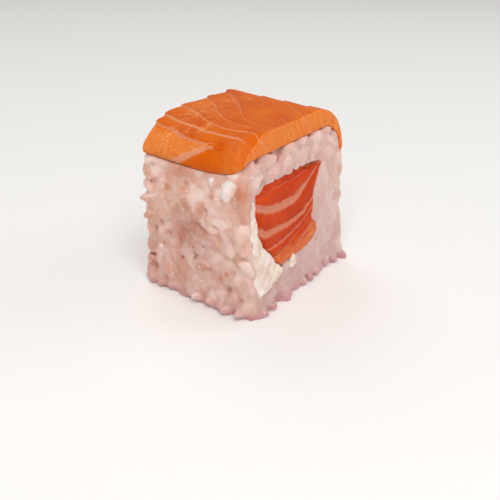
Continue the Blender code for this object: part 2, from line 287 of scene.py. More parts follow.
def cheese_edge(x, z):
    flat = np.column_stack([x, np.zeros(len(x)), z])
    return x + 0.7 * MM * wavy(flat, 1.5 * MM, 14), z + 0.6 * MM * wavy(flat, 1.3 * MM, 15)


def drawn_in(share):
    """How far the soft cheese keeps from the rice's side wall between the two cut faces."""
    return 1.3 * MM * smooth_step(np.minimum(share, 1.0 - share), 0.03, 0.12)


def box_grid(nx, ny, nz):
    """The shares of a box's three sides at each point of a grid over its surface, and its outward quads."""
    found, shares, quads = {}, [], []

    def quad(*corners):
        for at in corners:
            if at not in found:
                found[at] = len(shares)
                shares.append((at[0] / nx, at[1] / ny, at[2] / nz))
        quads.append([found[at] for at in corners])

    for i in range(nx):
        for j in range(ny):
            quad((i, j, 0), (i, j + 1, 0), (i + 1, j + 1, 0), (i + 1, j, 0))
            quad((i, j, nz), (i + 1, j, nz), (i + 1, j + 1, nz), (i, j + 1, nz))
    for i in range(nx):
        for k in range(nz):
            quad((i, 0, k), (i + 1, 0, k), (i + 1, 0, k + 1), (i, 0, k + 1))
            quad((i, ny, k), (i, ny, k + 1), (i + 1, ny, k + 1), (i + 1, ny, k))
    for j in range(ny):
        for k in range(nz):
            quad((0, j, k), (0, j, k + 1), (0, j + 1, k + 1), (0, j + 1, k))
            quad((nx, j, k), (nx, j + 1, k), (nx, j + 1, k + 1), (nx, j, k + 1))
    return np.array(shares), quads


def block_points(shares, inset):
    """Points of the block, drawn in by the inset on its four sides."""
    z = shares[:, 2] * BLOCK_HEIGHT
    y = between((front_y(z) + inset, back_y(z) - inset), shares[:, 1])
    left, right = -half_width(z) + dent(y, z) + inset, half_width(z) - inset
    return np.column_stack([between((left, right), shares[:, 0]), y, z])


def grain_tree():
    """Grains strewn over a surface, no two nearer than the spacing, each with its own turn and size."""
    tree = bpy.data.node_groups.new("strewn_grains", "GeometryNodeTree")
    tree.interface.new_socket("Geometry", in_out="OUTPUT", socket_type="NodeSocketGeometry")
    sockets = {"Surface": "Geometry", "Length": "Float", "Width": "Float", "Spacing": "Float", "Seed": "Int",
               "Lean": "Float", "Lean Spread": "Float", "Turn Spread": "Float", "Finish": "Material"}
    for name, kind in sockets.items():
        tree.interface.new_socket(name, in_out="INPUT", socket_type=f"NodeSocket{kind}")
    given = add(tree, "NodeGroupInput").outputs
    seed = given["Seed"]
    strewn = add(tree, "GeometryNodeDistributePointsOnFaces", {
        "Mesh": given["Surface"], "Distance Min": given["Spacing"], "Density Max": MOST_GRAINS,
        "Seed": seed}, distribute_method="POISSON")
    index = add(tree, "GeometryNodeInputIndex")
    tone = add(tree, "FunctionNodeRandomValue", {"ID": index, "Seed": seed}, data_type="FLOAT")
    points = add(tree, "GeometryNodeStoreNamedAttribute", {
        "Geometry": strewn, "Name": "tone", "Value": tone}, data_type="FLOAT", domain="POINT")
    ball = add(tree, "GeometryNodeMeshUVSphere", {"Segments": 14, "Rings": 9, "Radius": 0.5})
    laid = add(tree, "GeometryNodeTransform", {"Geometry": ball, "Rotation": (0, math.pi / 2, 0)})
    position = add(tree, "GeometryNodeInputPosition")
    x = add(tree, "ShaderNodeSeparateXYZ", (position,)).outputs["X"]
    squared = add(tree, "ShaderNodeMath", (x, x), operation="MULTIPLY")
    bow = add(tree, "ShaderNodeMath", (squared, GRAIN_BOW), operation="MULTIPLY")
    sideways = add(tree, "ShaderNodeCombineXYZ", {"Y": bow})
    bent = add(tree, "GeometryNodeSetPosition", {"Geometry": laid, "Offset": sideways})
    size = add(tree, "ShaderNodeCombineXYZ", (given["Length"], given["Width"], given["Width"]))
    grain = add(tree, "GeometryNodeTransform", {"Geometry": bent, "Scale": size})
    turns = []
    for sign in (-1.0, 1.0):
        lean = add(tree, "ShaderNodeMath", (given["Lean Spread"], sign, given["Lean"]),
                   operation="MULTIPLY_ADD")
        turn = add(tree, "ShaderNodeMath", (given["Turn Spread"], sign), operation="MULTIPLY")
        turns.append(add(tree, "ShaderNodeCombineXYZ", (sign * math.pi, lean, turn)))
    own_turn, own_size = (
        add(tree, "FunctionNodeRandomValue", {"Min": least, "Max": most, "Seed": seed},
            data_type="FLOAT_VECTOR")
        for least, most in (turns, GRAIN_SIZES))
    rotation = add(tree, "FunctionNodeRotateRotation", {
        "Rotation": strewn.outputs["Rotation"], "Rotate By": own_turn}, rotation_space="LOCAL")
    grains = add(tree, "GeometryNodeInstanceOnPoints", {
        "Points": points, "Instance": grain, "Rotation": rotation, "Scale": own_size})
    real = add(tree, "GeometryNodeRealizeInstances", {"Geometry": grains})
    finished = add(tree, "GeometryNodeSetMaterial", {"Geometry": real, "Material": given["Finish"]})
    add(tree, "NodeGroupOutput", {"Geometry": finished})
    return tree


def plain_mesh(piece):
    """The piece as its modifiers leave it, with no modifier on it."""
    bpy.context.view_layer.update()
    graph = bpy.context.evaluated_depsgraph_get()
    made = bpy.data.meshes.new_from_object(piece.evaluated_get(graph), depsgraph=graph)
    piece.modifiers.clear()
    piece.data = made
    return piece


def strew(piece, tree, **values):
    """Runs the tree of grains over a piece that is their surface, and leaves the grains as its mesh."""
    modifier = piece.modifiers.new("grains", "NODES")
    modifier.node_group = tree
    for item in tree.interface.items_tree:
        if item.in_out == "INPUT" and item.name.replace(" ", "_").lower() in values:
            modifier[item.identifier] = values[item.name.replace(" ", "_").lower()]
    return plain_mesh(piece)


def points_of(piece):
    points = np.empty(len(piece.data.vertices) * 3, np.float32)
    piece.data.vertices.foreach_get("co", points)
    return points.reshape(-1, 3).astype(float)


def set_points(piece, points):
    piece.data.vertices.foreach_set("co", np.ascontiguousarray(points, np.float32).ravel())
    piece.data.update()


def set_values(piece, name, values):
    """Stores one number for each point, which the piece's material reads."""
    attribute = piece.data.attributes.get(name) or piece.data.attributes.new(name, "FLOAT", "POINT")
    attribute.data.foreach_set("value", np.ascontiguousarray(values, np.float32))


def faces_of(piece):
    return [list(face.vertices) for face in piece.data.polygons]


def over_roll(distance, radius, half):
    """Where a line laid over the roll is at this distance from the middle of the top, and its normal."""
    flat = half - radius
    turn = np.clip((distance - flat) / radius, 0.0, 0.5 * np.pi)
    drop = np.maximum(0.0, distance - flat - 0.5 * np.pi * radius)
    x = np.minimum(distance, flat) + radius * np.sin(turn)
    z = BLOCK_HEIGHT - radius + radius * np.cos(turn) - drop
    return x, z, np.sin(turn), np.cos(turn)


def reach_of(end, radius, half):
    """The distance along the same line at which it comes down to the height of the slice's end."""
    flat, drop = half - radius, BLOCK_HEIGHT - radius - end
    down = flat + 0.5 * np.pi * radius + np.maximum(drop, 0.0)
    return np.where(drop >= 0.0, down, flat + radius * np.arccos(np.clip(-drop / radius, -1.0, 1.0)))


def slice_line(across, along):
    """The slice's underside: its place and normal, and how far it is from the top's middle and both ends."""
    half, rounding = BLOCK_WIDTH / 2, np.sqrt(along)
    left_side = (between(LEFT_RADIUS, rounding), half)
    right_side = (RIGHT_RADIUS, half - RIGHT_INSET)
    end = between(SLICE_LEFT_END[::-1], np.maximum(0.0, 1.0 - along / 0.45) ** 2)
    end = end + 1.0 * MM * (1.0 - smooth_step(along, 0.0, 0.09))
    left = reach_of(end, *left_side)
    right = reach_of(between(SLICE_RIGHT_END, along), *right_side)
    aside = between((-left, right), across)
    sides = zip((-1, 1, -1, 1), over_roll(np.abs(aside), *left_side), over_roll(np.abs(aside), *right_side))
    x, z, nx, nz = (np.where(aside < 0.0, way * on_left, on_right) for way, on_left, on_right in sides)
    return x, z, nx, nz, aside, aside + left, right - aside


def loft(name, rings):
    """A closed helper solid through rings of as many points, used to cut other pieces."""
    count = len(rings[0])
    points = [p for ring in rings for p in ring]
    faces = [list(range(count))[::-1], [len(points) - count + i for i in range(count)]]
    for level in range(len(rings) - 1):
        for i in range(count):
            j, base = (i + 1) % count, level * count
            faces.append([base + i, base + j, base + count + j, base + count + i])
    piece = put_mesh(name, points, faces)
    turn_out(piece)
    return piece


def turn_out(piece):
    """Turns every face outwards and makes all faces triangles."""
    shell = bmesh.new()
    shell.from_mesh(piece.data)
    bmesh.ops.triangulate(shell, faces=shell.faces)
    bmesh.ops.recalc_face_normals(shell, faces=shell.faces)
    shell.to_mesh(piece.data)
    shell.free()


def room_for(name, sides, edge, inward, past=6.0 * MM, rows=40, columns=50):
    """What the rice leaves free for a filling: its outline grown a little, past both cut faces."""
    z = np.linspace(sides[0][0], sides[-1][0], rows) * MM
    left, right = sides_at(sides, z)
    top = np.linspace(0.0, 1.0, columns)[1:-1]
    x = np.concatenate([right, between((right[-1], left[-1]), top), left[::-1]])
    z = np.concatenate([z, np.full(len(top), z[-1]), z[::-1]])
    outline = np.column_stack(edge(x, z))
    run = np.roll(outline, -1, axis=0) - np.roll(outline, 1, axis=0)
    run /= np.linalg.norm(run, axis=1)[:, None] + 1e-12
    outline = outline + TOUCH * np.column_stack([run[:, 1], -run[:, 0]])
    on_left = np.arange(len(x)) > rows + len(top)
    rings = []
    for share, beyond in ((0.0, -past), (0.03, 0), (0.12, 0), (0.88, 0), (0.97, 0), (1.0, past)):
        px = outline[:, 0] + inward(share) * on_left
        y = between((front_y(outline[:, 1]), back_y(outline[:, 1])), share) + beyond
        rings.append(list(zip(px, y, outline[:, 1])))
    return loft(name, rings)


def room_for_slice(rows=24, columns=60, lap=8.0 * MM, high=50.0 * MM, wide=40.0 * MM):
    """The space over the roll's upper edges that the salmon slice takes."""
    rings = []
    for row in range(rows + 1):
        x, z, *_ = slice_line(np.linspace(0.0, 1.0, columns), np.full(columns, row / rows))
        past = {0: -lap, rows: lap}.get(row, 0.0)
        inner = [(x[0], z[0] - TOUCH), *zip(x, z), (x[-1], z[-1] - TOUCH)]
        outer = [(wide, inner[-1][1]), (wide, high), (-wide, high), (-wide, inner[0][1])]
        rings.append([(px, between((front_y(pz), back_y(pz)), row / rows) + past, pz)
                      for px, pz in inner + outer])
    return loft("room_for_slice", rings)


def room_under_foot(depth=5.0 * MM, wide=60.0 * MM):
    return loft("room_under_foot", [[(-wide, -wide, z), (wide, -wide, z), (wide, wide, z), (-wide, wide, z)]
                                    for z in (-depth, 0.0)])


def cut_rooms(piece, rooms):
    for room in rooms:
        cut = piece.modifiers.new(room.name, "BOOLEAN")
        cut.operation, cut.solver, cut.object = "DIFFERENCE", "MANIFOLD", room
    plain_mesh(piece)
    piece.data.shade_smooth()


def upright(shares, quads):
    """The quads of a box grid's four sides, without those of its top and bottom."""
    return [q for q in quads if shares[q, 2].max() - shares[q, 2].min() > 1e-6]


def side_surface(inset, top=30.5 * MM, wide_only=False):
    """The block's four sides, or its two pressed ones without their edges, for grains to be strewn over."""
    shares, quads = box_grid(*WALL_CELLS)
    low = 1.2 * MM / BLOCK_HEIGHT
    shares[:, 2] = low + shares[:, 2] * (top / BLOCK_HEIGHT - low)
    quads = upright(shares, quads)
    if wide_only:
        away = {tuple(q): np.abs(shares[q].mean(axis=0) - 0.5) for q in quads}
        quads = [q for q in quads if away[tuple(q)][0] > 0.499 and away[tuple(q)][1] < 0.34]
    return block_points(shares, inset), quads


def foot_surface(inset):
    """A narrow strip round the foot, facing out."""
    shares, quads = box_grid(*WALL_CELLS[:2], 1)
    shares[:, 2] = (0.7 * MM + shares[:, 2] * 0.9 * MM) / BLOCK_HEIGHT
    return block_points(shares, inset), upright(shares, quads)


# Cooked rice is translucent: light enters a grain and comes out warm and rosy beside the salmon. Its skin is
# moist, some grains are chalky, starch fills the gaps, and it is coloured darker orange under the slice,
# between grains and in small pits.
RICE_TONES = (  # from glassy to chalky
    (0.0, "#d49d88"), (0.3, "#dfb09e"), (0.6, "#eac4b6"), (0.76, "#f2d9cf"), (1.0, "#fbf2ec"),
)
RICE_MUSH = "#c07f6b"
RICE_CUT = "#cfa8a2"
RICE_STARCH = "#f1e5dd"
RICE_DARKER_ORANGE = "#c8784e"
RICE_SPECK = "#7a3626"
RICE_RIM = "#d08d92"
RICE_GLINT = "#fffaf6"  # painted glints: wet starch where it would catch the light
RICE_LOW = (0.62, 0.58, 0.66)  # what is left of each colour in the shade near the table
RICE_NOISES = (  # size in millimetres, detail and roughness: patches, blotches, starch, painted glint spots, wrinkles
    (8.0, 3.0, 0.5), (1.3, 1.5, 0.5), (1.5, 2.0, 0.4), (0.8, 2.0, 0.5), (0.5, 3.0, 0.5),
)
WRINKLE_HEIGHT = 0.16 * MM
GRAIN_GLOW = (1.0, 0.6, 0.48)  # how far each colour of light travels inside a grain, against the depth
GRAIN_GLOW_DEPTH = 0.75 * MM
PITS = (  # on the left wall: y, z and radius in millimetres, of small darker orange spots
    (0.8, 25.8, 0.7), (0.6, 21.3, 1.0), (-2.4, 20.6, 1.0), (-3.3, 16.7, 0.7), (-6.8, 7.4, 0.6),
    (-8.1, 8.6, 0.6), (-11.6, 26.5, 1.7), (7.4, 3.0, 0.8), (6.0, 23.8, 0.8), (-5.4, 24.6, 0.7),
    (13.1, 17.5, 0.5), (11.3, 5.9, 0.5), (-9.7, 12.2, 0.5), (8.2, 15.0, 0.35), (-7.8, 24.4, 0.35),
)
SPECKS = (  # small dark specks, given the same way
    (0.6, 11.8, 0.26), (3.5, 8.7, 0.28), (-2.0, 12.7, 0.24), (0.5, 9.4, 0.24), (8.4, 15.8, 0.24),
)


def rice_material(name):
    material, tree = new_material(name)
    here = add(tree, "ShaderNodeTexCoord").outputs["Object"]
    tone, mush, cut, darker_orange, speck, rim, low = (
        add(tree, "ShaderNodeAttribute", attribute_name=stored).outputs["Fac"]
        for stored in ("tone", "mush", "cut", "darker_orange", "speck", "rim", "low"))
    patches, blotches, starch, glint_spots, wrinkles = (
        add(tree, "ShaderNodeTexNoise", {
            "Vector": here, "Scale": 1 / (size * MM), "Detail": detail, "Roughness": roughness})
        for size, detail, roughness in RICE_NOISES)
    base = add(tree, "ShaderNodeMath", (patches, 0.32, -0.16), operation="MULTIPLY_ADD")
    own = add(tree, "ShaderNodeMath", (tone, 0.68, base), operation="MULTIPLY_ADD")
    shade = add(tree, "ShaderNodeMath", (blotches, 0.16, own), operation="MULTIPLY_ADD")
    colour = add(tree, "ShaderNodeValToRGB", (shade,))
    while len(colour.color_ramp.elements) < len(RICE_TONES):
        colour.color_ramp.elements.new(0.5)
    for element, (place, code) in zip(colour.color_ramp.elements, RICE_TONES):
        element.position, element.color = place, linear(code)
    # Painted highlights: small near-white glint spots mixed into the colour, where wet starch would catch the
    # light.
    chalk, glints = (
        add(tree, "ShaderNodeMapRange", {"Value": value, "From Min": start, "From Max": end, "To Max": most})
        for value, start, end, most in ((starch, 0.50, 0.80, 0.30), (glint_spots, 0.66, 0.71, 0.45)))
    for share, layer in ((mush, RICE_MUSH), (cut, RICE_CUT), (chalk, RICE_STARCH), (darker_orange, RICE_DARKER_ORANGE),
                         (speck, RICE_SPECK), (rim, RICE_RIM), (glints, RICE_GLINT)):
        colour = add(tree, "ShaderNodeMix", (share, colour, layer), data_type="RGBA")
    darker = add(tree, "ShaderNodeVectorMath", (colour, RICE_LOW), operation="MULTIPLY")
    colour = add(tree, "ShaderNodeMix", (low, colour, darker), data_type="RGBA")
    bump = add(tree, "ShaderNodeBump", {"Strength": 0.5, "Distance": WRINKLE_HEIGHT, "Height": wrinkles})
    shader = add(tree, "ShaderNodeBsdfPrincipled", {
        "Base Color": colour, "Roughness": 0.40, "IOR": 1.45, "Specular IOR Level": 0.35,
        "Subsurface Weight": 0.8, "Subsurface Radius": GRAIN_GLOW, "Subsurface Scale": GRAIN_GLOW_DEPTH,
        "Coat Weight": 0.6, "Coat Roughness": 0.10, "Coat IOR": 1.33, "Normal": bump})
    add(tree, "ShaderNodeOutputMaterial", {"Surface": shader})
    return material


def joined(name, parts, material):
    """One mesh of several sets of points and faces."""
    points, faces = [], []
    for some_points, some_faces in parts:
        faces += [[len(points) + i for i in face] for face in some_faces]
        points += [tuple(p) for p in some_points]
    return put_mesh(name, points, faces, material)


def tones_of(piece):
    return np.array([v.value for v in piece.data.attributes["tone"].data])


def pressed(points):
    """The mould pressed the sides flat, and the knife the cut faces, least along the top and the corners."""
    x, y, z = points.T
    above_foot = smooth_step(z, 2.0 * MM, 5.0 * MM)
    level = 0.4 * above_foot * (1.0 - 0.4 * smooth_step(y, 10.8 * MM, 13.5 * MM))
    for wall, way in ((-half_width(z) + dent(y, z), -1.0), (half_width(z), 1.0)):
        out = (x - wall) * way
        x = x - way * out * smooth_step(out, -2.2 * MM, -1.2 * MM) * level
    along_top = smooth_step(z, 25.0 * MM, 27.5 * MM) * (1.0 - smooth_step(x, 12.0 * MM, 16.0 * MM))
    smeared = 0.8 * (1.0 - along_top)
    smeared *= 1.0 - smooth_step(np.abs(x), 16.4 * MM, 18.2 * MM)
    smeared *= smooth_step(z, 0.8 * MM, 3.0 * MM)
    for wall, way in ((front_y(z), -1.0), (back_y(z), 1.0)):
        out = (y - wall) * way
        y = y - way * out * smooth_step(out, -1.9 * MM, -1.2 * MM) * smeared
    return np.column_stack([x, y, z])


def nearest_tone(points, sources):
    """The tone of the grain nearest to each point, and how far away that grain's surface is."""
    loose = joined("loose", [(points_of(s), faces_of(s)) for s in sources], None)
    tones = np.concatenate([tones_of(s) for s in sources])
    nearest = BVHTree.FromPolygons([v.co for v in loose.data.vertices], faces_of(loose))
    face_tone = [tones[face.vertices[0]] for face in loose.data.polygons]
    bpy.data.objects.remove(loose, do_unlink=True)
    found = [nearest.find_nearest(p) for p in points]
    return np.array([face_tone[f[2]] for f in found]), np.array([f[3] for f in found])


def evened(piece, values, rounds):
    """Values at a mesh's points, evened out with their neighbours'."""
    size = len(values)
    ends = np.empty(len(piece.data.edges) * 2, np.int32)
    piece.data.edges.foreach_get("vertices", ends)
    here, there = ends.reshape(-1, 2).T
    number = np.bincount(here, minlength=size) + np.bincount(there, minlength=size)
    for _ in range(rounds):
        total = np.bincount(here, values[there], minlength=size)
        total += np.bincount(there, values[here], minlength=size)
        values = 0.5 * values + 0.5 * total / np.maximum(number, 1)
    return values


def mark_rice(piece, packed, whole):
    """Stores each point's grain tone, and how mushy, cut, darker orange, specked, low in painted shade or near
    the rim it is.
    """
    points = points_of(piece)
    x, y, z = points.T
    tone, gap = nearest_tone(points, packed)
    tone = evened(piece, tone, 1)
    gap = evened(piece, smooth_step(gap, 0.10 * MM, 0.30 * MM), 2)
    whole_tone, away = nearest_tone(points, whole)
    on_whole = 1.0 - smooth_step(away, 0.18 * MM, 0.30 * MM)
    tone = between((tone, whole_tone), on_whole)
    set_values(piece, "tone", evened(piece, tone, 1))
    on_left = smooth_step(-x, 14.5 * MM, 16.0 * MM)
    clouds = wavy(points, 5.0 * MM, 21)
    set_values(piece, "mush", on_left * np.clip(0.95 * dent(y, z) / DENT_DEPTH + 0.25 * clouds, 0.0, 0.85))
    ends = np.minimum(y - front_y(z), back_y(z) - y)
    cut = 1.0 - smooth_step(ends, 0.3 * MM, 1.2 * MM)
    cut *= 1.0 - smooth_step(np.abs(x), 15.5 * MM, 17.3 * MM)
    set_values(piece, "cut", 0.65 * cut * (1.0 - 0.4 * on_whole))
    # Darker orange towards the top under the slice, in the gaps between grains and at the listed pits.
    darker_orange = 0.6 * on_left * smooth_step(z, 24.0 * MM, 29.5 * MM) * smooth_step(clouds, -0.25, 0.35)
    darker_orange = np.maximum(darker_orange, 0.5 * gap * on_left * smooth_step(clouds, -0.5, 0.3))
    darker_orange *= 1.0 - 0.8 * on_whole * smooth_step(whole_tone, 0.6, 0.9)
    specks = np.zeros(len(points))
    for marks, places, strength in ((darker_orange, PITS, 0.75), (specks, SPECKS, 0.9)):
        for py, pz, radius in places:
            away = np.hypot(y - py * MM, z - pz * MM) / (radius * MM)
            np.maximum(marks, strength * on_left * np.exp(-away ** 2), out=marks)
    set_values(piece, "darker_orange", darker_orange)
    set_values(piece, "speck", specks)
    set_values(piece, "rim", 0.75 * (1.0 - smooth_step(z, 0.2 * MM, 2.8 * MM)))
    # Painted shade: the colour darkens towards the table.
    set_values(piece, "low", 0.3 * (1.0 - smooth_step(z, 2.0 * MM, 22.0 * MM)))


rice_finish = rice_material("moist_sushi_rice")
grains_tree = grain_tree()
flat_on_wall = {"lean": 0.0, "lean_spread": GRAIN_TIP, "turn_spread": math.pi, "finish": rice_finish}
strewn_grains = strew(put_mesh("strewn_grains", *side_surface(GRAIN_DEPTH)), grains_tree,
                      length=GRAIN_LENGTH, width=GRAIN_WIDTH, spacing=GRAIN_SPACING, seed=5, **flat_on_wall)
foot_grains = strew(put_mesh("foot_grains", *foot_surface(FOOT_DEPTH)), grains_tree,
                    length=GRAIN_LENGTH, width=GRAIN_WIDTH, spacing=FOOT_SPACING, seed=3,
                    lean=math.pi / 2, lean_spread=FOOT_TIP, turn_spread=FOOT_TURN, finish=rice_finish)


# Grains that kept their shape and stand out singly, such as the chalky one under the slice's front corner
# and the row that hangs over the filling.
PROUD = 0.72 * MM  # how far a single grain stands out of the wall
SINGLE_GRAINS = (  # wall, its ends' place across and height, and its width, in millimetres, and its tone
    ("left", -10.3, 29.0, -7.7, 24.0, 3.3, 1.35), ("left", -6.2, 28.4, -5.3, 26.0, 2.4, 0.6),
    ("left", -9.0, 16.0, -9.2, 12.2, 2.3, 0.95), ("left", 5.2, 22.8, -0.6, 24.6, 2.2, 0.7),
    ("left", 0.4, 7.6, -4.2, 9.4, 2.6, 0.6), ("left", -1.7, 0.8, -0.3, 5.4, 3.0, 0.65),
    ("left", 6.2, 2.6, 8.4, 7.8, 2.6, 0.65), ("left", -10.0, 6.8, -11.2, 9.8, 2.2, 0.85),
    ("left", -9.0, 1.8, -10.2, 5.4, 2.2, 0.8), ("left", -12.2, 0.6, -13.2, 4.2, 2.4, 0.8),
    ("left", -4.2, 17.6, -5.2, 22.0, 2.0, 0.8), ("left", -11.2, 16.0, -11.9, 20.4, 2.2, 0.85),
    ("left", 9.0, 21.0, 13.9, 19.4, 1.9, 0.35), ("left", 10.2, 17.0, 13.5, 15.2, 1.8, 0.4),
    ("front", -16.6, 26.6, -11.2, 28.4, 3.2, 0.9), ("front", -9.8, 27.4, -6.0, 28.7, 3.0, 0.75),
    ("front", -5.4, 28.0, -1.0, 29.2, 3.1, 0.85), ("front", 0.4, 27.6, 3.6, 29.6, 3.1, 0.75),
    ("front", 5.2, 27.5, 8.4, 29.2, 3.1, 0.85), ("front", 5.6, 30.2, 10.6, 30.9, 3.2, 1.0),
    ("front", 11.4, 29.8, 14.2, 27.2, 3.0, 0.8), ("front", 9.6, 27.2, 14.8, 25.2, 3.1, 0.75),
    ("front", 14.6, 24.9, 17.9, 22.4, 3.1, 0.8), ("front", -10.6, 29.6, -6.4, 30.8, 2.8, 0.7),
    ("front", -4.2, 31.2, -0.2, 31.4, 2.8, 0.75), ("front", 0.8, 31.2, 4.6, 31.6, 2.8, 0.65),
    ("front", 10.4, 31.6, 13.6, 30.6, 2.6, 0.75), ("front", -16.4, 29.4, -12.0, 30.2, 2.6, 0.65),
)


def at_wall(wall, across, z, out):
    """A place this far out of the left or the front wall."""
    if wall == "left":
        return Vector((-half_width(z) + dent(across, z) - out, across, z))
    return Vector((across, front_y(z) - out, z))


single = bmesh.new()
single_tones = []
for wall, u0, z0, u1, z1, width, tone in SINGLE_GRAINS:
    ends = [at_wall(wall, u * MM, z * MM, PROUD - width * MM / 2) for u, z in ((u0, z0), (u1, z1))]
    run = ends[1] - ends[0]
    size = Vector((run.length, width * MM, width * MM))
    laid = Matrix.LocRotScale((ends[0] + ends[1]) / 2, run.to_track_quat("X", "Z"), size)
    made = bmesh.ops.create_uvsphere(single, u_segments=18, v_segments=12, radius=0.5)
    for vertex in made["verts"]:
        x, y, z = vertex.co
        blunt = math.copysign(0.5 * abs(2.0 * z) ** 1.5, z)
        vertex.co = laid @ Vector((blunt, x, y))
    single_tones += [tone] * len(made["verts"])
single_mesh = bpy.data.meshes.new("single_grains")
single.to_mesh(single_mesh)
single_grains = bpy.data.objects.new("single_grains", single_mesh)
set_values(single_grains, "tone", single_tones)
loose_grains = strew(put_mesh("loose_grains", *side_surface(LOOSE_DEPTH, wide_only=True)), grains_tree,
                     length=LOOSE_LENGTH, width=LOOSE_WIDTH, spacing=LOOSE_SPACING, seed=10, **flat_on_wall)


def stuck_together(name, parts, rounds):
    """One closed mesh of overlapping parts, run together where they touch as sticky rice is."""
    made = joined(name, [(points_of(p), faces_of(p)) for p in parts], rice_finish)
    remesh = made.modifiers.new("sticky", "REMESH")
    remesh.mode, remesh.voxel_size, remesh.use_smooth_shade = "VOXEL", STICKY_VOXEL, True
    soften = made.modifiers.new("soften", "SMOOTH")
    soften.factor, soften.iterations = 0.5, rounds
    return plain_mesh(made)


shares, quads = box_grid(*PACKED_CELLS)
packed_points = block_points(shares, PACKED_INSET)
flare = 1.0 - smooth_step(shares[:, 2] * BLOCK_HEIGHT, 1.0 * MM, 4.0 * MM)
packed_points[:, :2] += (2.0 * shares[:, :2] - 1.0) * FOOT_FLARE * flare[:, None]
packed_points[:, 2] -= FOOT_SINK
packed_rice = joined("packed_rice", [(packed_points, quads)], None)
pressed_rice = stuck_together("pressed_rice", (packed_rice, strewn_grains, foot_grains), 2)
for piece in (pressed_rice, strewn_grains, foot_grains):
    set_points(piece, pressed(points_of(piece)))
rice = stuck_together("rice", (pressed_rice, single_grains, loose_grains), 1)
points = points_of(rice)
points += LUMP_HEIGHT * np.array([noise_vector(Vector(p) / LUMP_SIZE) for p in points])
set_points(rice, points)
rooms = [room_for("room_for_filling", CORE_SIDES, core_edge, lambda share: 0.0),
         room_for("room_for_cheese", CHEESE_SIDES, cheese_edge, drawn_in),
         room_for_slice(), room_under_foot()]
cut_rooms(rice, rooms)
mark_rice(rice, (strewn_grains, foot_grains), (single_grains, loose_grains))
for helper in (packed_rice, strewn_grains, foot_grains, single_grains, loose_grains, pressed_rice, *rooms):
    bpy.data.objects.remove(helper, do_unlink=True)


def keep_in_box(piece, slack=0.02 * MM):
    """Holds a piece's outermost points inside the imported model's box."""
    set_points(piece, np.clip(points_of(piece), np.array(cad_box[0]) + slack, np.array(cad_box[1]) - slack))


keep_in_box(rice)
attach(rice, "root")
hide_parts("rice_block")


# The salmon. Raw flesh is in thin curved flakes with pale fat between them, wet and a little translucent.
# Fat lines are given as smooth curves, each with the width and strength of its line, and every point counts
# how far it lies between two of them.
FLESH_GLOW = (1.0, 0.32, 0.12)  # how far each colour of light travels in the flesh, against the depth
FLESH_GLOW_DEPTH = 1.0 * MM
FLESH_ROUGHNESS = 0.34
FLESH_PAINTED_GLEAM = "#f3a868"  # painted highlight on the ridges of a wet ripple
FIBRE_SIZE = (1.5 * MM, 0.34 * MM, 0.8 * MM)
FIBRE_HEIGHT = 0.14 * MM
STRAND_SIZE = (0.6 * MM, 0.5 * MM, 3.0 * MM)
STRAND_TURN = (0.0, math.radians(-35), 0.0)
FINE_FAT = 0.2 * MM  # a line fades where it is thinner than this
LEAST_FAT = 0.05 * MM
SLOPE_STEP = 0.2 * MM


def fat_lines(lines, along, across):
    """Each point's place counted in fat lines, their spacing, and the nearest one's width and strength."""
    curves = [[(u * MM, v * MM) for u, v in line[0]] for line in lines]
    at = np.array([along_curve(curve, along) for curve in curves])
    ahead = np.array([along_curve(curve, along + SLOPE_STEP) for curve in curves])
    least = LEAST_FAT * np.arange(len(lines))[:, None]
    at = np.maximum.accumulate(at - least, axis=0) + least
    below = np.clip((across >= at).sum(axis=0) - 1, 0, len(lines) - 2)
    column = np.arange(len(along))
    gap = at[below + 1, column] - at[below, column]
    count = below + (across - at[below, column]) / gap
    nearest = np.clip(np.rint(count), 0, len(lines) - 1).astype(int)
    slope = (ahead[nearest, column] - at[nearest, column]) / SLOPE_STEP
    spacing = gap / np.sqrt(1.0 + np.clip(slope, -3.0, 3.0) ** 2)
    widths = np.array([np.interp(along, *(np.array(line[1]).T * MM)) for line in lines])[nearest, column]
    strengths = np.array([line[2] for line in lines])[nearest] * np.clip(widths / FINE_FAT, 0.0, 1.0)
    return count, spacing, np.maximum(widths, LEAST_FAT), strengths


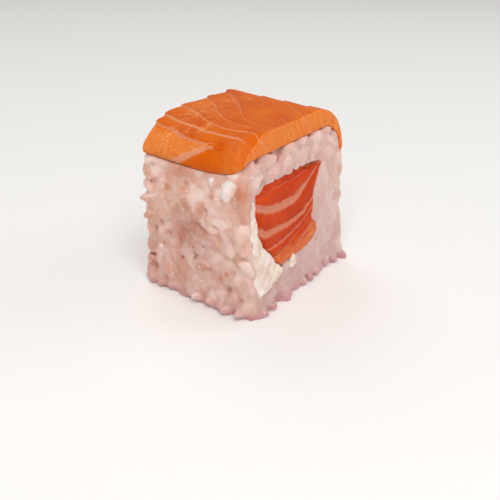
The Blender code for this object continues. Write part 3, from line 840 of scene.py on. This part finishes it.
def salmon_finish(name, deep, mid, light, fat, fibre_turn):
    """Raw salmon: flesh between deep and mid, lighter where frayed, with fat lines and fine fibres. Painted
    shade runs across each band between fat lines, and painted highlights mark wet ripples.
    """
    material, tree = new_material(name)
    here = add(tree, "ShaderNodeTexCoord").outputs["Object"]
    band, spacing, width, fatness, frayed, painted_gleam = (
        add(tree, "ShaderNodeAttribute", attribute_name=stored).outputs["Fac"]
        for stored in ("band", "spacing", "fat_width", "fat", "frayed", "painted_gleam"))
    torn_edge, clouds, fine = (
        add(tree, "ShaderNodeTexNoise", {"Vector": here, "Scale": 1 / (size * MM), "Detail": detail})
        for size, detail in ((0.9, 3.0), (7, 2.0), (0.35, 3.0)))
    whole = add(tree, "ShaderNodeMath", (band,), operation="ROUND")
    apart = add(tree, "ShaderNodeMath", (band, whole), operation="SUBTRACT")
    away = add(tree, "ShaderNodeMath", (apart,), operation="ABSOLUTE")
    distance = add(tree, "ShaderNodeMath", (away, spacing), operation="MULTIPLY")
    shift = add(tree, "ShaderNodeMath", (torn_edge, 0.5), operation="SUBTRACT")
    torn, inner, outer = (add(tree, "ShaderNodeMath", (width, share), operation="MULTIPLY")
                          for share in (0.55, 0.25, 0.62))
    wander = add(tree, "ShaderNodeMath", (shift, torn, distance), operation="MULTIPLY_ADD")
    line = add(tree, "ShaderNodeMapRange", {
        "Value": wander, "From Min": inner, "From Max": outer, "To Min": 1.0, "To Max": 0.0},
        interpolation_type="SMOOTHSTEP")
    fat_here = add(tree, "ShaderNodeMath", (line, fatness), operation="MULTIPLY")
    laid = add(tree, "ShaderNodeMapping", {"Vector": here, "Rotation": fibre_turn, "Scale": FIBRE_SIZE},
               vector_type="TEXTURE")
    fibres = add(tree, "ShaderNodeTexNoise", {"Vector": laid, "Scale": 1.0, "Detail": 5.0, "Roughness": 0.6})
    mixed = add(tree, "ShaderNodeMath", (fibres, 0.55, clouds), operation="MULTIPLY_ADD")
    # Painted shade: each band between two fat lines goes lighter from one line to the next, as light falls on
    # its slope.
    across_band = add(tree, "ShaderNodeMath", (band,), operation="FRACT")
    tone_and_band_shade = add(tree, "ShaderNodeMath", (across_band, 0.22, mixed), operation="MULTIPLY_ADD")
    upright_strands = add(tree, "ShaderNodeMapping", {
        "Vector": here, "Rotation": STRAND_TURN, "Scale": STRAND_SIZE}, vector_type="TEXTURE")
    striae = add(tree, "ShaderNodeTexNoise", {"Vector": upright_strands, "Scale": 1.0, "Detail": 3.0})
    shade, strands, ridges = (
        add(tree, "ShaderNodeMapRange", {"Value": value, "From Min": start, "From Max": end})
        for value, start, end in ((tone_and_band_shade, 0.6, 1.15), (striae, 0.25, 0.60), (fibres, 0.5, 0.62)))
    frays = add(tree, "ShaderNodeMath", (strands, 0.7, 0.3), operation="MULTIPLY_ADD")
    fray = add(tree, "ShaderNodeMath", (frays, frayed), operation="MULTIPLY")
    # Painted highlights: the fibre ridges turn paler where the flesh is marked as gleaming.
    wet = add(tree, "ShaderNodeMath", (ridges, painted_gleam), operation="MULTIPLY")
    colour = deep
    for share, layer in ((shade, mid), (fray, light), (fat_here, fat), (wet, FLESH_PAINTED_GLEAM)):
        colour = add(tree, "ShaderNodeMix", (share, colour, layer), data_type="RGBA")
    relief = add(tree, "ShaderNodeMath", (fine, 0.4, fibres), operation="MULTIPLY_ADD")
    bump = add(tree, "ShaderNodeBump", {"Strength": 0.45, "Distance": FIBRE_HEIGHT, "Height": relief})
    shader = add(tree, "ShaderNodeBsdfPrincipled", {
        "Base Color": colour, "Roughness": FLESH_ROUGHNESS, "IOR": 1.38, "Specular IOR Level": 0.05,
        "Subsurface Weight": 0.3, "Subsurface Radius": FLESH_GLOW, "Subsurface Scale": FLESH_GLOW_DEPTH,
        "Coat Weight": 0.05, "Coat Roughness": 0.08, "Coat IOR": 1.33, "Normal": bump})
    add(tree, "ShaderNodeOutputMaterial", {"Surface": shader})
    return material


def from_rim(shares, cells):
    """How many cells of its grid a point of a cut face lies from the nearest edge, against four of them."""
    steps = np.minimum(shares, 1 - shares) * np.array(cells)
    return np.minimum(steps[:, 0], steps[:, 2]) / 4.0


def round_edges(shares, quads, points, cells, reach, rounds):
    """Softens a box grid's edges, as many cells in as the reach from where two of its sides meet."""
    steps = np.minimum(shares, 1 - shares) * np.array(cells)
    chosen = (steps <= reach).sum(axis=1) >= 2
    ends = np.array([(q[i], q[(i + 1) % 4]) for q in quads for i in range(4)])
    for _ in range(rounds):
        total, number = np.zeros_like(points), np.zeros(len(points))
        for here, there in ((0, 1), (1, 0)):
            np.add.at(total, ends[:, here], points[ends[:, there]])
            np.add.at(number, ends[:, here], 1)
        points = np.where(chosen[:, None], 0.5 * points + 0.5 * total / number[:, None], points)
    return points


def mark_fat(piece, lines, along, across, frayed, painted_gleam):
    count, spacing, width, strength = fat_lines(lines, along, across)
    for name, values in (("band", count), ("spacing", spacing), ("fat_width", width), ("fat", strength),
                         ("frayed", frayed), ("painted_gleam", painted_gleam)):
        set_values(piece, name, values)


# The filling: a thick strip of the same fish, redder and cut across its flakes, so that its fat shows as
# wide pale arcs. It runs right through the roll, and its ends stand a little proud of the rice.
CUT_RELIEF = 0.5 * MM
CUT_WAVES = (0.10 * MM, 1.6 * MM)  # height and size
FILLING_CELLS = (92, 40, 84)
FILLING_COLOURS = ("#ba3512", "#cf4a1c", "#dc7c48", "#d28468")  # deep, mid, light and fat
FILLING_FIBRES = (0.0, math.radians(-24), 0.0)
FILLING_LINES = (  # from the lowest: x and z, then x and width, in millimetres, and strength
    (((-6, 8.2), (-2.1, 9.5), (0.4, 10.3), (2.7, 11.1), (4.6, 11.6), (8, 12.6)),
     ((-6, 0.3), (5, 0.5)), 0.7),
    (((-9, 8.8), (-3.2, 10.2), (-0.8, 11.2), (1.2, 12), (3.7, 12.9), (8, 14.6)),
     ((-6, 0.3), (5, 0.6)), 0.8),
    (((-15, 10.5), (-6.7, 11.3), (-2.5, 12.7), (1.3, 14.2), (3.2, 14.9), (8, 17)),
     ((-6, 0.4), (5, 0.3)), 0.6),
    (((-15, 13.7), (-10.7, 13.4), (-7.9, 13.3), (-5, 13.7), (0.1, 14.9), (1.9, 15.6), (8, 18.6)),
     ((-12, 0.6), (3, 0.35)), 0.8),
    (((-15, 18.6), (-13, 17.3), (-7.6, 16.55), (-2.2, 16.4), (0.2, 16.7), (2.4, 17.4), (4.3, 18.4),
      (8, 21.5)),
     ((-13.5, 1.8), (-10, 1.4), (-2, 1), (3, 0.6), (5, 0.4)), 0.9),
    (((-15.5, 23.6), (-12.5, 22), (-9.9, 21.3), (-3.6, 20.75), (-0.7, 21.1), (1.2, 22), (3.4, 23),
      (5.6, 24.3), (9, 26.3)),
     ((-13, 1.6), (-4, 1.9), (0, 1.8), (3, 1.1), (6, 0.6), (9, 0.4)), 1),
    (((-15, 24.6), (-12, 24.6), (-9.3, 24.9), (-6.9, 25), (-4.7, 24.9), (0, 24.9), (4, 25.7), (8, 27.2)),
     ((-12, 0.2), (-6, 0.35), (4, 0.2)), 0.35),
    (((-15, 31), (9, 31)), ((0, 0), (5, 0)), 0),
)

filling_salmon = salmon_finish("raw_salmon_cut_across", *FILLING_COLOURS, FILLING_FIBRES)
shares, quads = box_grid(*FILLING_CELLS)
height = between((CORE_SIDES[0][0] * MM, CORE_SIDES[-1][0] * MM), shares[:, 2])
x_left, x_right = sides_at(CORE_SIDES, height)
x = between((x_left, x_right), shares[:, 0])
count = fat_lines(FILLING_LINES, x, height)[0]
flat_points = np.column_stack([x, np.zeros(len(x)), height])
inside = smooth_step(from_rim(shares, FILLING_CELLS))
bulge = CUT_RELIEF * np.sqrt(np.abs(np.sin(np.pi * count))) * inside
bulge += CUT_WAVES[0] * inside * wavy(flat_points, CUT_WAVES[1], 4)
ragged_x, ragged_z = core_edge(x, height)
y = between((front_y(ragged_z) - bulge, back_y(ragged_z) + bulge), shares[:, 1])
filling_points = np.column_stack([ragged_x, y, ragged_z])
filling_points = round_edges(shares, quads, filling_points, FILLING_CELLS, 1, 2)
filling = put_mesh("salmon_core", filling_points, quads, filling_salmon)
tail = smooth_step(height, 13.0 * MM, 9.5 * MM)
lobe = smooth_step(x, 1.0 * MM, 5.0 * MM) * smooth_step(height, 15.0 * MM, 12.0 * MM)
rim = smooth_step(x_right - x, 1.8 * MM, 0.6 * MM) * smooth_step(height, 14.0 * MM, 17.0 * MM)
frayed = np.clip(0.8 * tail + 0.9 * lobe + 0.6 * rim, 0.0, 1.0)
mark_fat(filling, FILLING_LINES, x, height, frayed, 0.25 * tail)
keep_in_box(filling)
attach(filling, "root")
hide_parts("salmon_filling")


# Soft cream cheese, whipped and spread beside the filling. It is matt and creamy, with light coming through
# its thin edges. The knife dragged it into soft folds, and left a dab of it under the filling's tail.
CHEESE_DAB = (-3.1, 7.5, 1.2, 0.5, 1.7)  # x, z and its three half sizes, in millimetres
CHEESE_CELLS = (40, 40, 100)
CHEESE_DARK = "#e2c6b5"
CHEESE_LIGHT = "#f3e5db"
CHEESE_GLOW = (1.0, 0.8, 0.6)
CHEESE_GLOW_DEPTH = 0.7 * MM
DRAG_TURN = (0.0, math.radians(-50), 0.0)
DRAG_SIZE = (3.2 * MM, 1.8 * MM, 1.6 * MM)
DRAG_HEIGHT = 0.3 * MM
FOLD_HEIGHT = 0.42 * MM
FOLD_SIZES = (1.7 * MM, 0.9 * MM)
FOLD_TURN = (0.64, 0.77)  # cosine and sine
FOLD_LENGTH = 1.8  # against its width

cheese_finish, tree = new_material("whipped_cream_cheese")
here = add(tree, "ShaderNodeTexCoord").outputs["Object"]
drag = add(tree, "ShaderNodeMapping", {"Vector": here, "Rotation": DRAG_TURN, "Scale": DRAG_SIZE},
           vector_type="TEXTURE")
streaks = add(tree, "ShaderNodeTexNoise", {"Vector": drag, "Scale": 1.0, "Detail": 4.0, "Roughness": 0.5})
level = add(tree, "ShaderNodeMapRange", {"Value": streaks, "From Min": 0.35, "From Max": 0.62})
tint = add(tree, "ShaderNodeMix", (level, CHEESE_DARK, CHEESE_LIGHT), data_type="RGBA")
bump = add(tree, "ShaderNodeBump", {"Strength": 0.5, "Distance": DRAG_HEIGHT, "Height": streaks})
shader = add(tree, "ShaderNodeBsdfPrincipled", {
    "Base Color": tint, "Roughness": 0.45, "IOR": 1.45, "Subsurface Weight": 0.4,
    "Subsurface Radius": CHEESE_GLOW, "Subsurface Scale": CHEESE_GLOW_DEPTH, "Normal": bump})
add(tree, "ShaderNodeOutputMaterial", {"Surface": shader})

shares, quads = box_grid(*CHEESE_CELLS)
height = between((CHEESE_SIDES[0][0] * MM, CHEESE_SIDES[-1][0] * MM), shares[:, 2])
x_left, x_right = sides_at(CHEESE_SIDES, height)
x_left = x_left + drawn_in(shares[:, 1])
x = between((x_left, x_right), shares[:, 0])
ragged_x, ragged_z = cheese_edge(x, height)
core_z = np.linspace(CORE_SIDES[0][0], CORE_SIDES[-1][0], 80) * MM
core_x, core_z = core_edge(sides_at(CORE_SIDES, core_z)[0], core_z)
beside = np.interp(ragged_z, core_z, core_x) - 3 * TOUCH
ragged_x = np.where(ragged_z > core_z[0] - 0.3 * MM, np.minimum(ragged_x, beside), ragged_x)
turned_x = FOLD_TURN[0] * ragged_x - FOLD_TURN[1] * ragged_z
turned_z = FOLD_TURN[1] * ragged_x + FOLD_TURN[0] * ragged_z
turned = np.column_stack([turned_x / FOLD_LENGTH, shares[:, 1], turned_z])
folds = 1.0 - 1.5 * np.abs(wavy(turned, FOLD_SIZES[0], 31)) + 0.5 * wavy(turned, FOLD_SIZES[1], 32)
out = FOLD_HEIGHT * smooth_step(from_rim(shares, CHEESE_CELLS)) * folds
y = between((front_y(ragged_z) - out, back_y(ragged_z) + out), shares[:, 1])
cheese_points = np.column_stack([ragged_x, y, ragged_z])
cheese_points = round_edges(shares, quads, cheese_points, CHEESE_CELLS, 1, 2)
dab_shares, dab_quads = box_grid(10, 10, 10)
dab_x, dab_z, *dab_size = (value * MM for value in CHEESE_DAB)
dab = 2.0 * dab_shares - 1.0
dab = dab / np.linalg.norm(dab, axis=1)[:, None] * np.array(dab_size)
dab += 0.3 * dab_size[0] * np.column_stack([wavy(dab, 0.9 * MM, 33 + i) for i in range(3)])
dab += np.array([dab_x, front_y(dab_z) + 0.1 * MM, dab_z])
cheese = joined("cream_cheese", [(cheese_points, quads), (dab, dab_quads)], cheese_finish)
keep_in_box(cheese)
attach(cheese, "root")
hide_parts("soft_cheese")


# The salmon slice on top: one slanting cut across the fillet, laid over the roll and pressed to its rounded
# edges. Its fat lines fan out over the top, one thick line turns back in a V on the left, and the front edge
# shows the cut.
SLICE_CELLS = (184, 112, 13)
SLICE_COLOURS = ("#cf530b", "#e36e10", "#f09047", "#e59c78")  # deep, mid, light and fat
SLICE_FIBRES = (0.0, 0.0, math.radians(-54))
SLICE_THICKNESS = 4.0 * MM
LEFT_TAPER = (2.5 * MM, 11.0 * MM)
RIGHT_TAPER = (14.0 * MM, 8.0 * MM)
LEFT_EDGE = 1.4 * MM
RIGHT_EDGE = 0.6 * MM
LEFT_NOSE = 1.6 * MM
RIGHT_NOSE = 0.9 * MM
SLICE_OVERHANG = (0.3 * MM, 0.9 * MM)
BACK_STEP = 0.6 * MM
BAND_DEPTH = 0.2 * MM
GROOVE_DEPTH = 0.08 * MM
RIPPLE_HEIGHT = 0.06 * MM
RIPPLE_SIZE = 0.55 * MM
RIPPLE_LENGTH = 4.5  # against its width
RIPPLE_TURN = (0.59, 0.81)  # cosine and sine
MOST_RELIEF = 0.05 * MM
ROLL_GAP = 0.3 * MM
GLEAMS = (  # distance from the top's middle and y, and radius: painted highlights, where wet ripples catch the light
    (-2, 9, 2.2), (-5.4, 5.9, 2.2), (-1.5, 4.2, 1.3), (-9.1, 6.7, 2.4), (-11.6, -0.4, 1), (-12.7, 3.2, 1),
    (-13.3, 0.1, 0.8), (-14.3, 7.2, 1.4), (3, 7, 1.2), (-9.6, 2.4, 0.7), (6.5, 4, 0.8), (1.5, 1, 1),
)
SLICE_LINES = (  # from the left: y and distance from the top's middle, then y and width, and strength
    (((-15, -25), (15, -28)), ((0, 0), (5, 0)), 0),
    (((-13.5, -15.9), (-8.3, -15.5), (-5.1, -15.4), (-4.5, -15.1), (-2.1, -15.7), (-0.5, -16.3),
      (1.4, -17), (3.4, -17.7), (5.2, -18.2), (8, -19.2), (15, -21)),
     ((-8, 0), (-5.5, 0), (-4.5, 0.6), (-3, 1.1), (6, 1.1)), 0.9),
    (((-13.5, -15.7), (-8.3, -15.3), (-5.1, -15.2), (-2.7, -15), (-1, -14.8), (0.8, -14.6), (2.6, -14.3),
      (4.4, -14), (6.4, -13.4), (7.8, -13.1), (9.9, -12.9), (12, -12.4), (15, -11.8)),
     ((-8, 0), (-5.5, 0), (-4.5, 0.4), (2, 0.4), (5, 0.7), (8, 0.4), (12, 0.3)), 0.6),
    (((-13.5, -15.2), (-10, -14.5), (-9, -14.2), (-7.4, -14), (-3.5, -13.4), (-0.9, -13.1), (1.8, -12.5),
      (5, -12), (7.9, -11.5), (10.6, -10.8), (15, -9.8)),
     ((-12, 0), (-10, 0.2), (0, 0.3), (8, 0.36), (12, 0.3)), 0.7),
    (((-13.5, -13.2), (-12.5, -12.7), (-10.7, -12.1), (-8.1, -12.4), (-6.7, -12.5), (-4.7, -12.4),
      (-2.5, -11.9), (0, -11.1), (2.3, -10.2), (4.5, -8.9), (7.3, -7.3), (9.7, -6.4), (15, -4.5)),
     ((-12, 0.35), (-6, 0.2), (2, 0.28), (8, 0.4)), 0.55),
    (((-13.5, -8.8), (-9, -9.6), (-4.3, -9.2), (-2.6, -8.8), (-0.4, -7.8), (1.6, -6.3), (3.8, -4.5),
      (6.2, -2), (9.6, 0.7), (15, 4.5)),
     ((-12, 0.2), (-4, 0.15), (2, 0.3), (8, 0.3)), 0.4),
    (((-13.5, -6.6), (-9, -7.4), (-4.1, -5.8), (-0.2, -2), (2.9, 1.4), (5.7, 3.9), (9.1, 6.9), (15, 11)),
     ((-12, 0.2), (-2, 0.2), (3, 0.9), (7, 1.2), (12, 0.3)), 0.3),
    (((-13.5, -4), (-11.3, -2.8), (-7.6, 0.2), (-2.4, 3), (-0.5, 5.6), (1.5, 8.6), (6, 12.5), (15, 18)),
     ((-12, 0.4), (-8, 0.1), (-1, 0.3), (3, 0.2)), 0.25),
    (((-13.5, 1.4), (-8, 5.5), (-3, 9.8), (2, 14), (8, 18.5), (15, 23)), ((-12, 0.4), (10, 0.2)), 0.25),
    (((-13.5, 7), (-6, 12.6), (0, 17.5), (8, 22.5), (15, 26)), ((-12, 0.5), (10, 0.2)), 0.25),
    (((-13.5, 13.2), (-5, 18.6), (5, 24.5), (15, 29)), ((-12, 0.7), (10, 0.5)), 0.5),
    (((-13.5, 40), (15, 45)), ((0, 0), (5, 0)), 0),
)

slice_salmon = salmon_finish("raw_salmon_slice", *SLICE_COLOURS, SLICE_FIBRES)
shares, quads = box_grid(*SLICE_CELLS)
across, along, through = shares.T
x, z, nx, nz, aside, from_left, from_right = slice_line(across, along)
rounding = np.sqrt(along)
full = SLICE_THICKNESS * (1.0 - 0.05 * along)
thick = between((LEFT_EDGE, full), smooth_step(from_left / between(LEFT_TAPER, rounding)))
thin = between((RIGHT_EDGE, full), smooth_step(from_right / between(RIGHT_TAPER, along)))
to_tip = np.clip(np.minimum(from_left / LEFT_NOSE, from_right / RIGHT_NOSE), 0.05, 1.0)
nose = np.sqrt(1.0 - (1.0 - to_tip) ** 2)
from_front = along * BLOCK_LENGTH
soft_corner = smooth_step(-aside, 10.5 * MM, 15.0 * MM) * (1.0 - smooth_step(from_front, 0.0, 2.2 * MM)) ** 2
thickness = (ROLL_GAP - TOUCH + np.minimum(thick, thin)) * nose * (1.0 - 0.45 * soft_corner)
y = between((front_y(z) - SLICE_OVERHANG[0], back_y(z) + SLICE_OVERHANG[1]), along)
deep_in = (1.0 - through) * thickness
on_cut = (along < 1e-6) | (along > 1.0 - 1e-6)
slant = np.where(on_cut, 0.72 * deep_in, 0.0)
flat_points = np.column_stack([aside, y, np.zeros(len(aside))])
count, spacing, width, strength = fat_lines(SLICE_LINES, y, aside - slant)
step = BAND_DEPTH * smooth_step(count - np.floor(count), 0.0, 0.8) * (np.abs(aside) < 22 * MM)
swell = 0.13 * MM * wavy(flat_points, 6.0 * MM, 1) + 0.05 * MM * wavy(flat_points, 1.8 * MM, 2)
from_line = np.abs(count - np.rint(count)) * spacing
groove = GROOVE_DEPTH * strength * (1.0 - smooth_step(from_line, 0.0, width))
turned_x = RIPPLE_TURN[0] * aside - RIPPLE_TURN[1] * y
turned_y = RIPPLE_TURN[1] * aside + RIPPLE_TURN[0] * y
ripple = wavy(np.column_stack([turned_x / RIPPLE_LENGTH, turned_y, np.zeros(len(aside))]), RIPPLE_SIZE, 3)
rippled = smooth_step(wavy(flat_points, 3.5 * MM, 7), 0.0, 0.4) * smooth_step(aside, 6 * MM, 0.0)
relief = swell - step - groove + RIPPLE_HEIGHT * ripple * (0.25 + rippled) + 0.1 * MM
relief = np.minimum(relief, MOST_RELIEF)
lift = TOUCH + through * (thickness + np.where(through > 0.5, relief, 0.0))
strands = wavy(np.column_stack([aside - slant, np.zeros(len(aside)), 0.12 * deep_in]), 0.45 * MM, 9)
y = y - np.where(along < 0.5, 1.0, -1.0) * on_cut * (0.06 * strands - 0.06) * MM
y = y - BACK_STEP * smooth_step(along, 0.8, 1.0) * (count - np.floor(count))
slice_points = np.column_stack([x + nx * lift, y, z + nz * lift])
slice_points = round_edges(shares, quads, slice_points, SLICE_CELLS, 2, 4)
salmon_slice = put_mesh("salmon_slice_top", slice_points, quads, slice_salmon)
inside_v = smooth_step(count, 1.0, 1.15) * smooth_step(count, 2.0, 1.85) * smooth_step(y, -5 * MM, -3 * MM)
corner = smooth_step(y, -6.5 * MM, -9.5 * MM) * smooth_step(aside, -13.0 * MM, -16.0 * MM)
frayed = np.maximum.reduce([0.75 * inside_v, 0.4 * corner, 0.75 * (along < 1e-6)])
# Painted highlights: spots where wet ripples catch the light, and the inside of the V.
painted_gleam = sum(np.exp(-((aside - gs * MM) ** 2 + (y - gy * MM) ** 2) / (radius * MM) ** 2)
            for gs, gy, radius in GLEAMS)
painted_gleam = np.clip(painted_gleam + 0.35 * inside_v, 0.0, 1.0) * (through > 0.9)
mark_fat(salmon_slice, SLICE_LINES, y, aside - slant, frayed, painted_gleam)
keep_in_box(salmon_slice)
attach(salmon_slice, "root")
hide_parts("salmon_slice")


# The size of what shows, beside the imported model's.
low_corner, high_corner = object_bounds()
